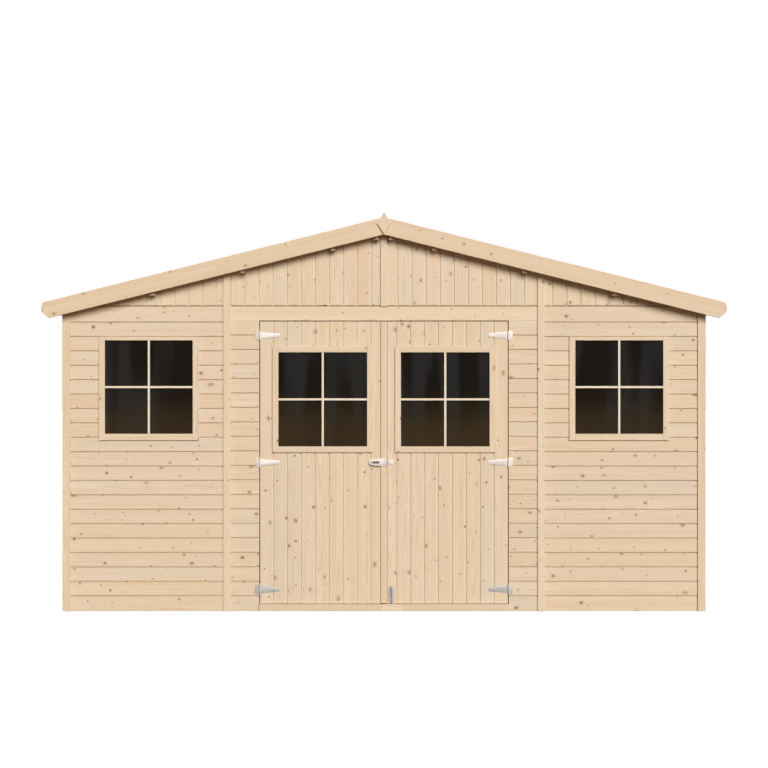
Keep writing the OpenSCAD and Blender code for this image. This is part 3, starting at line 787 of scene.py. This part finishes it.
def windowWork(frameNode, glassNode, body, name):
    look = windowLook
    outLow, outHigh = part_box(frameNode)
    sheetLow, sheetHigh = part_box(glassNode)
    rebate = Vector((look["rebate"], 0, look["rebate"]))
    seenLow, seenHigh = sheetLow + rebate, sheetHigh - rebate
    sticks = ringOfSticks(outLow, outHigh, seenLow, seenHigh, outLow.y, sheetLow.y, look["arris"])
    sticks += ringOfSticks(sheetLow, sheetHigh, seenLow, seenHigh, sheetHigh.y, outHigh.y, look["arris"])
    finishPiece(sticks, name + "Frame", body, trimTimber, [frameNode])
    midX, midZ = (seenLow.x + seenHigh.x) / 2, (seenLow.z + seenHigh.z) / 2
    half, front = look["barWide"] / 2, sheetLow.y - look["barDeep"]
    arris = look["barArris"]
    bars = [
        easedStick((midX - half, front, seenLow.z), (midX + half, sheetLow.y, seenHigh.z), alongZ, arris),
        easedStick((seenLow.x, front, midZ - half), (midX - half, sheetLow.y, midZ + half), alongX, arris),
        easedStick((midX + half, front, midZ - half), (seenHigh.x, sheetLow.y, midZ + half), alongX, arris)]
    finishPiece(bars, name + "Bars", body, barTimber)
    sheet = fromNode(glassNode, look["glassArris"], 1)
    finishPiece([sheet], name + "Pane", body, pane, [glassNode])


for side in ("left", "right"):
    windowWork("window_frame_" + side, "window_glass_" + side, "root", "wallWindow" + side.title())
for side in ("left", "right"):
    door = "door_" + side
    windowWork(door + "_window_frame", door + "_glass", door, "doorWindow" + side.title())

low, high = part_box("door_cover_strip")
strip = easedStick(low, (high.x + doorBoards["meet"], high.y, high.z), alongZ, stripArris)
finishPiece([strip], "meetingStrip", "door_left", trimTimber, ["door_cover_strip"])
report("doors and windows made")


# Floor and roof boards

floorBoards = {
    "pitch": 0.094, "grooveDeep": 0.004, "thick": 0.016, "arris": 0.001, "gap": 0.0008,
    "joints": (0.625, 0.375)}  # butt joints fall over bearers
floorLow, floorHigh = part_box("floor_boards")
floorRows = round((floorHigh.y - floorLow.y) / floorBoards["pitch"])
floorStep = (floorHigh.y - floorLow.y) / floorRows
halfGap = floorBoards["gap"] / 2
boards = []
for k in range(floorRows):
    master = planedBoard(floorStep - floorBoards["gap"], 0, floorBoards)
    joint = floorLow.x + (floorHigh.x - floorLow.x) * floorBoards["joints"][k % 2]
    for start, end in ((floorLow.x, joint - halfGap), (joint + halfGap, floorHigh.x)):
        corner = (start, floorLow.y + floorStep * k, floorHigh.z - halfGap)
        boards.append(layBoard(master, corner, alongX, (0, 0, -1), end - start))
finishPiece(boards, "floorPlanks", "root", floorTimber, ["floor_boards"])

roofBoards = {"pitch": 0.088, "groove": 0.005, "grooveDeep": 0.004, "thick": 0.0155, "arris": 0.0016, "short": 0.001}


def downSlope(side):
    return Vector((side * math.cos(lean), 0, -math.sin(lean)))


def offSlope(side):
    return Vector((side * math.sin(lean), 0, math.cos(lean)))


for name, node, side in (("roofBoardsLeft", "roof_left", -1), ("roofBoardsRight", "roof_right", 1)):
    look = roofBoards
    low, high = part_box(node)
    length = (high.x - low.x - math.sin(lean) * look["thick"]) / math.cos(lean) - look["short"]
    count = round((high.y - low.y) / look["pitch"])
    step = (high.y - low.y) / count
    master = planedBoard(step - look["groove"], look["groove"], look)
    starts = [high.y - step * k if side > 0 else low.y + step * k for k in range(count)]
    boards = [layBoard(master, (0, y, ridgeZ), downSlope(side), offSlope(side), length) for y in starts]
    finishPiece(boards, name, "root", roofTimber, [node])

for master in masters.values():
    discard(master)
for hole in wallHoles:
    discard(hole["cutter"])
report("floor and roof boarded")


# Roof felt: strips laid from the eaves up, each lapping the one below, and a cap over the ridge

feltStrips = {
    "onBoards": 0.016, "thick": 0.0018, "first": 0.98, "lap": 0.08, "cap": 0.17, "end": 0.001, "ripple": 0.0004,
    "cuts": 60, "arris": 0.0006, "pastEave": 0.005, "eaveShort": 0.0015, "secondFrom": 0.03, "capFrom": -0.0045}
feltLow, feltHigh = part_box("roof_felt")
eaveEnd = (feltHigh.x - feltStrips["pastEave"]) / math.cos(lean)
lapEnd = eaveEnd - feltStrips["first"] + feltStrips["lap"]


def feltLevel(layers):
    return feltStrips["onBoards"] + layers * feltStrips["thick"]


def feltStrip(side, fromRidge, toRidge, layers):
    look = feltStrips
    lift = feltLevel(layers)
    strip = cubeAt((fromRidge, feltLow.y + look["end"], lift),
                   (toRidge, feltHigh.y - look["end"], lift + look["thick"]))
    pickEdges(strip, lambda a, b: abs(a.y - b.y) > 1)
    bpy.ops.mesh.subdivide(number_cuts=look["cuts"])
    bpy.ops.mesh.select_all(action="SELECT")
    bpy.ops.transform.vertex_random(offset=look["ripple"], uniform=0.3, normal=0.0, seed=round(100 * toRidge))
    leaveEdit()
    useModifier(strip, "BEVEL", width=look["arris"], segments=1, limit_method="ANGLE", angle_limit=math.radians(40))
    down, away = downSlope(side), Vector((0, side, 0))
    place = Matrix((down, away, down.cross(away))).transposed().to_4x4()
    place.translation = Vector((0, 0, ridgeZ))
    strip.data.transform(place)
    return strip


strips = []
for side in (-1, 1):
    strips.append(feltStrip(side, eaveEnd - feltStrips["first"], eaveEnd - feltStrips["eaveShort"], 0))
    strips.append(feltStrip(side, feltStrips["secondFrom"], lapEnd, 1))
    strips.append(feltStrip(side, feltStrips["capFrom"], feltStrips["cap"], 2))
finishPiece(strips, "feltCovering", "root", felt, ["roof_felt"])
report("felt laid")


# Ironmongery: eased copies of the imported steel, with screws

ironLook = {
    "arris": 0.0005, "keeperArris": 0.0003, "face": 0.003, "pinBack": 0.0025, "hingeInset": 0.085,
    "bigScrew": (0.0036, 0.0006), "smallScrew": (0.0024, 0.0005),  # radius, and how far it stands proud
    "plateScrews": ((0.0165, -0.021), (0.0125, 0.0), (0.0165, 0.021)),
    "strapScrews": ((0.022, 0.0125), (0.022, -0.0125), (0.058, 0.0), (0.09, 0.0), (0.112, 0.0)),
    "haspPair": (0.008, 0.0095), "haspNear": 0.009, "guideIn": (0.006, 0.007), "keeperIn": 0.005}


def screwHead(radius, proud):  # countersunk head with a cross recess, facing +Z
    head = rodAt(20, radius, 0.0012, (0, 0, proud - 0.0006))
    pickFaces(head, lambda middle, normal: normal.z > 0.9)
    bpy.ops.mesh.bevel(offset=radius * 0.14, segments=2, affect="EDGES")
    leaveEdit()
    arm, slot = radius * 0.62, radius * 0.13
    for wide, deep in ((arm, slot), (slot, arm)):
        cutter = cubeAt((-wide, -deep, proud - 0.0007), (wide, deep, proud + 0.001))
        carve(head, cutter)
        discard(cutter)
    head.name = "screw"
    return head


def nailHead(radius, proud):  # low round head, facing +Z
    head = rodAt(8, radius, 0.001, (0, 0, proud - 0.0005))
    pickFaces(head, lambda middle, normal: normal.z > 0.9)
    bpy.ops.mesh.inset(thickness=radius * 0.35, depth=radius * 0.12)
    leaveEdit()
    head.name = "nail"
    return head


def facing(point, normal, turn):
    place = Vector(normal).to_track_quat("Z", "Y").to_matrix().to_4x4() @ Matrix.Rotation(turn, 4, "Z")
    place.translation = Vector(point)
    return place


def fixings(master, spots, name, body):
    heads = [copyOf(master, facing(point, normal, dice.uniform(0, math.pi))) for point, normal in spots]
    finishPiece(heads, name, body, zinc)


for name, node, body in (
        ("hingePlatesSteel", "hinge_plates", "root"), ("leftStrapsSteel", "door_left_hinge_straps", "door_left"),
        ("rightStrapsSteel", "door_right_hinge_straps", "door_right"), ("haspStrapSteel", "hasp_strap", "door_left"),
        ("haspPlateSteel", "hasp_plate", "door_right"), ("boltGuideSteel", "bolt_guide", "door_right"),
        ("boltRodSteel", "bolt_rod", "drop_bolt"), ("boltKeeperSteel", "bolt_keeper", "root")):
    steel = fromNode(node, ironLook["keeperArris" if node == "bolt_keeper" else "arris"], 2, True)
    finishPiece([steel], name, body, zinc, [node])

# Painted shade: a dark plate in the hasp's slot stands in for the shadow inside it
haspEye = {"fromX": -0.0655, "toX": -0.0275, "half": 0.0064, "back": 0.0018, "rim": 0.002, "rimDeep": 0.0006}
low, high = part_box("hasp_strap")
midZ = (low.z + high.z) / 2
eye = cubeAt((haspEye["fromX"], low.y + haspEye["back"], midZ - haspEye["half"]),
             (haspEye["toX"], high.y, midZ + haspEye["half"]))
pickFaces(eye, lambda middle, normal: normal.y < -0.9)
bpy.ops.mesh.inset(thickness=haspEye["rim"], depth=haspEye["rimDeep"])
leaveEdit()
finishPiece([eye], "haspEye", "door_left", slotShade)

leafLow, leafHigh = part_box("door_left_leaf")
inset = ironLook["hingeInset"]
hingeHeights = [leafLow.z + inset, (leafLow.z + leafHigh.z) / 2, leafHigh.z - inset]
pinX = jambX - ironLook["pinBack"]
steelFace = frontLow.y - ironLook["face"]
bigScrew = screwHead(*ironLook["bigScrew"])
smallScrew = screwHead(*ironLook["smallScrew"])
toFront = (0, -1, 0)
for side, tag in ((-1, "left"), (1, "right")):
    for kind, way, body in (("Plate", 1, "root"), ("Strap", -1, "door_" + tag)):
        places = ironLook[kind.lower() + "Screws"]
        spots = [((side * (pinX + way * x), steelFace, z + dz), toFront) for z in hingeHeights for x, dz in places]
        fixings(bigScrew, spots, tag + kind + "Screws", body)
low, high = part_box("hasp_plate")
midZ = (low.z + high.z) / 2
fromEnd, apart = ironLook["haspPair"]
spots = [((high.x - fromEnd, low.y, midZ + dz), toFront) for dz in (-apart, apart)]
spots.append(((low.x + ironLook["haspNear"], low.y, midZ), toFront))
fixings(smallScrew, spots, "haspPlateScrews", "door_right")
low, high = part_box("bolt_guide")
inX, inZ = ironLook["guideIn"]
spots = [((x, steelFace, z), toFront) for x in (low.x + inX, high.x - inX)
         for z in (low.z + inZ, (low.z + high.z) / 2, high.z - inZ)]
fixings(smallScrew, spots, "boltGuideScrews", "door_right")
keeperLow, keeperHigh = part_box("bolt_keeper")
inX = ironLook["keeperIn"]
spots = [((x, (keeperLow.y + keeperHigh.y) / 2, keeperHigh.z), alongZ)
         for x in (keeperLow.x + inX, keeperHigh.x - inX)]
fixings(smallScrew, spots, "keeperScrews", "root")
report("ironmongery fitted")


# Nails through the boards into the frame behind

nailLook = {
    "nail": (0.0017, 0.0003), "clout": (0.005, 0.0009),  # radius, and how far it stands proud
    "first": 0.006, "levels": (0.024, 0.064), "offTop": 0.012, "offEdge": 0.01,
    "windowIn": 0.012, "jambIn": 0.014, "offHinge": 0.04,
    "backLines": (-1.448, -0.48, 0.0, 0.48, 1.448), "sideLines": (-0.72, 0.72)}
leafNails = {
    "first": 0.045, "count": 9, "aside": 0.018, "apart": 0.02, "offMiddle": 0.03, "offPins": 0.135, "offEdge": 0.01}
floorNails = {"in": 0.022, "spans": 8, "across": (0.25, 0.75), "sunk": 0.0003}
feltNails = {"eave": 0.03, "edge": 0.02, "from": -1.5, "run": 3.0, "spans": 25, "stray": 0.01}
nail = nailHead(*nailLook["nail"])
clout = nailHead(*nailLook["clout"])


def nailLevels(top):  # heights of the nails up a wall of level boards
    joints = [nailLook["first"]] + [levelBoards["first"] + levelBoards["pitch"] * k for k in range(22)]
    return [z + up for z in joints for up in nailLook["levels"] if z + up < top - nailLook["offTop"]]


windowLow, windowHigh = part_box("window_frame_right")
clear = nailLook["offEdge"]
spots = []
for z in nailLevels(wallTop):
    for x in (windowLow.x + nailLook["windowIn"], windowHigh.x - nailLook["windowIn"]):
        if not windowLow.z - clear < z < windowHigh.z + clear:
            spots += [((side * x, frontLow.y, z), toFront) for side in (-1, 1)]
    if z < headerLow.z - clear and min(abs(z - height) for height in hingeHeights) > nailLook["offHinge"]:
        spots += [((side * (jambX + nailLook["jambIn"]), frontLow.y, z), toFront) for side in (-1, 1)]
fixings(nail, spots, "frontNails", "root")
spots = [((x, backHigh.y, z), alongY) for z in nailLevels(wallTop) for x in nailLook["backLines"]]
fixings(nail, spots, "backNails", "root")
spots = [((side * halfWide, y, z), (side, 0, 0)) for side in (-1, 1) for z in nailLevels(leftHigh.z)
         for y in nailLook["sideLines"]]
fixings(nail, spots, "sideNails", "root")

for way, tag in ((1, "left"), (-1, "right")):
    look = leafNails
    low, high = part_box("door_" + tag + "_leaf")
    edge = low.x if way > 0 else high.x
    lines = [edge + way * (look["first"] + doorBoards["pitch"] * k) for k in range(look["count"])]
    lines = [x + dx for x in lines for dx in (-look["aside"], look["aside"])]
    lines = [x for x in lines if abs(x) > look["offMiddle"] and abs(abs(x) - pinX) > look["offPins"]
             and abs(x - edge) > look["offEdge"]]
    spots = [((x, low.y, z + dz), toFront) for x in lines for z in hingeHeights
             for dz in (-look["apart"], look["apart"])]
    fixings(nail, spots, tag + "LeafNails", "door_" + tag)

bearerLow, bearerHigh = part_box("floor_bearers")
firstX = bearerLow.x + floorNails["in"]
runX = bearerHigh.x - bearerLow.x - 2 * floorNails["in"]
spots = [((firstX + runX * k / floorNails["spans"], floorLow.y + floorStep * (row + part),
           floorHigh.z - floorNails["sunk"]), alongZ)
         for k in range(floorNails["spans"] + 1) for row in range(floorRows) for part in floorNails["across"]]
fixings(nail, spots, "floorNails", "root")

spots = []
for side in (-1, 1):
    for far, layers in ((eaveEnd - feltNails["eave"], 1), (lapEnd - feltNails["edge"], 2),
                        (feltStrips["cap"] - feltNails["edge"], 3)):
        rise = offSlope(side) * feltLevel(layers)
        for k in range(feltNails["spans"] + 1):
            stray = dice.uniform(-feltNails["stray"], feltNails["stray"])
            y = feltNails["from"] + feltNails["run"] * k / feltNails["spans"] + stray
            spots.append((Vector((0, y, ridgeZ)) + downSlope(side) * far + rise, offSlope(side)))
fixings(clout, spots, "feltNails", "root")
for master in (bigScrew, smallScrew, nail, clout):
    discard(master)
report("nails driven")


# A paler patch is let into the sill round the bolt's keeper

sillPatch = {"half": 0.061, "proud": 0.0012, "deep": 0.004, "over": 0.0003, "arris": 0.0008}
sillLow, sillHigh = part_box("threshold")
boltX = (keeperLow.x + keeperHigh.x) / 2
patchFront, patchOver = sillLow.y - sillPatch["proud"], sillPatch["over"]
patch = easedStick((boltX - sillPatch["half"], patchFront, sillLow.z - sill["drop"] - patchOver),
                   (boltX + sillPatch["half"], sillLow.y + sillPatch["deep"], sillHigh.z + patchOver),
                   alongX, sillPatch["arris"])
finishPiece([patch], "sillPatch", "root", paleTimber)
report("sill patched")


# Floor, light and camera

studio = {
    "floor": (0.18, 0.135, 0.085), "floorSeen": (0.55, 0.55, 0.545), "floorGlow": 0.80, "floorWide": 90,
    "skyShown": (1, 1, 1), "skyLight": (0.055, 0.036, 0.015),
    "suns": (("keySun", (0.27, -1.0, 0.435), 3.38, 28.0), ("backSun", (-0.55, 1.0, 0.6), 2.6, 30.0),
             ("sideSun", (1.0, 0.22, 0.35), 1.6, 30.0))}
pickNone()
bpy.ops.mesh.primitive_circle_add(vertices=64, radius=studio["floorWide"], fill_type="NGON", location=(0, 0, 0))
ground = bpy.context.active_object
settle(ground)
ground.name = "paleFloor"
bench = Bench("paleFloorPaint")  # seen pale, but it throws back less light than it shows
direct = bench.part("ShaderNodeLightPath", {}, {}, "Is Camera Ray")
ground.data.materials.append(bench.finish({
    "Base Color": bench.tone(direct, studio["floor"], studio["floorSeen"]),
    "Roughness": 0.9, "Specular IOR Level": 0.1,
    "Emission Color": bench.tone(direct, (0, 0, 0), (1, 1, 1)), "Emission Strength": studio["floorGlow"]}))

world = bpy.data.worlds.new("softRoom")
scene.world = world
world.use_nodes = True
tree = world.node_tree
tree.nodes.clear()
seen = tree.nodes.new("ShaderNodeLightPath")
choice = tree.nodes.new("ShaderNodeMix")
choice.data_type = "RGBA"
choice.inputs[6].default_value = (*studio["skyLight"], 1)
choice.inputs[7].default_value = (*studio["skyShown"], 1)
sky = tree.nodes.new("ShaderNodeBackground")
end = tree.nodes.new("ShaderNodeOutputWorld")
tree.links.new(seen.outputs["Is Camera Ray"], choice.inputs[0])
tree.links.new(choice.outputs[2], sky.inputs["Color"])
tree.links.new(sky.outputs[0], end.inputs["Surface"])


def sunFrom(name, way, strength, wide):
    bpy.ops.object.light_add(type="SUN", location=Vector(way) * 12)
    lamp = bpy.context.active_object
    lamp.name = name
    lamp.data.energy = strength
    lamp.data.angle = math.radians(wide)
    lamp.rotation_euler = (-Vector(way)).to_track_quat("-Z", "Y").to_euler()


for name, way, strength, wide in studio["suns"]:
    sunFrom(name, way, strength, wide)

shot = {"away": 12.0, "height": 1.389, "across": 4.692, "sensor": 36, "far": 300}
bpy.ops.object.camera_add(location=(0, frontLow.y - shot["away"], shot["height"]),
                          rotation=(math.radians(90), 0, 0))
camera = bpy.context.active_object
camera.data.sensor_width = shot["sensor"]
camera.data.lens = shot["sensor"] * shot["away"] / shot["across"]
camera.data.clip_end = shot["far"]
scene.camera = camera
scene.view_settings.view_transform = "Standard"
report("light and camera set")
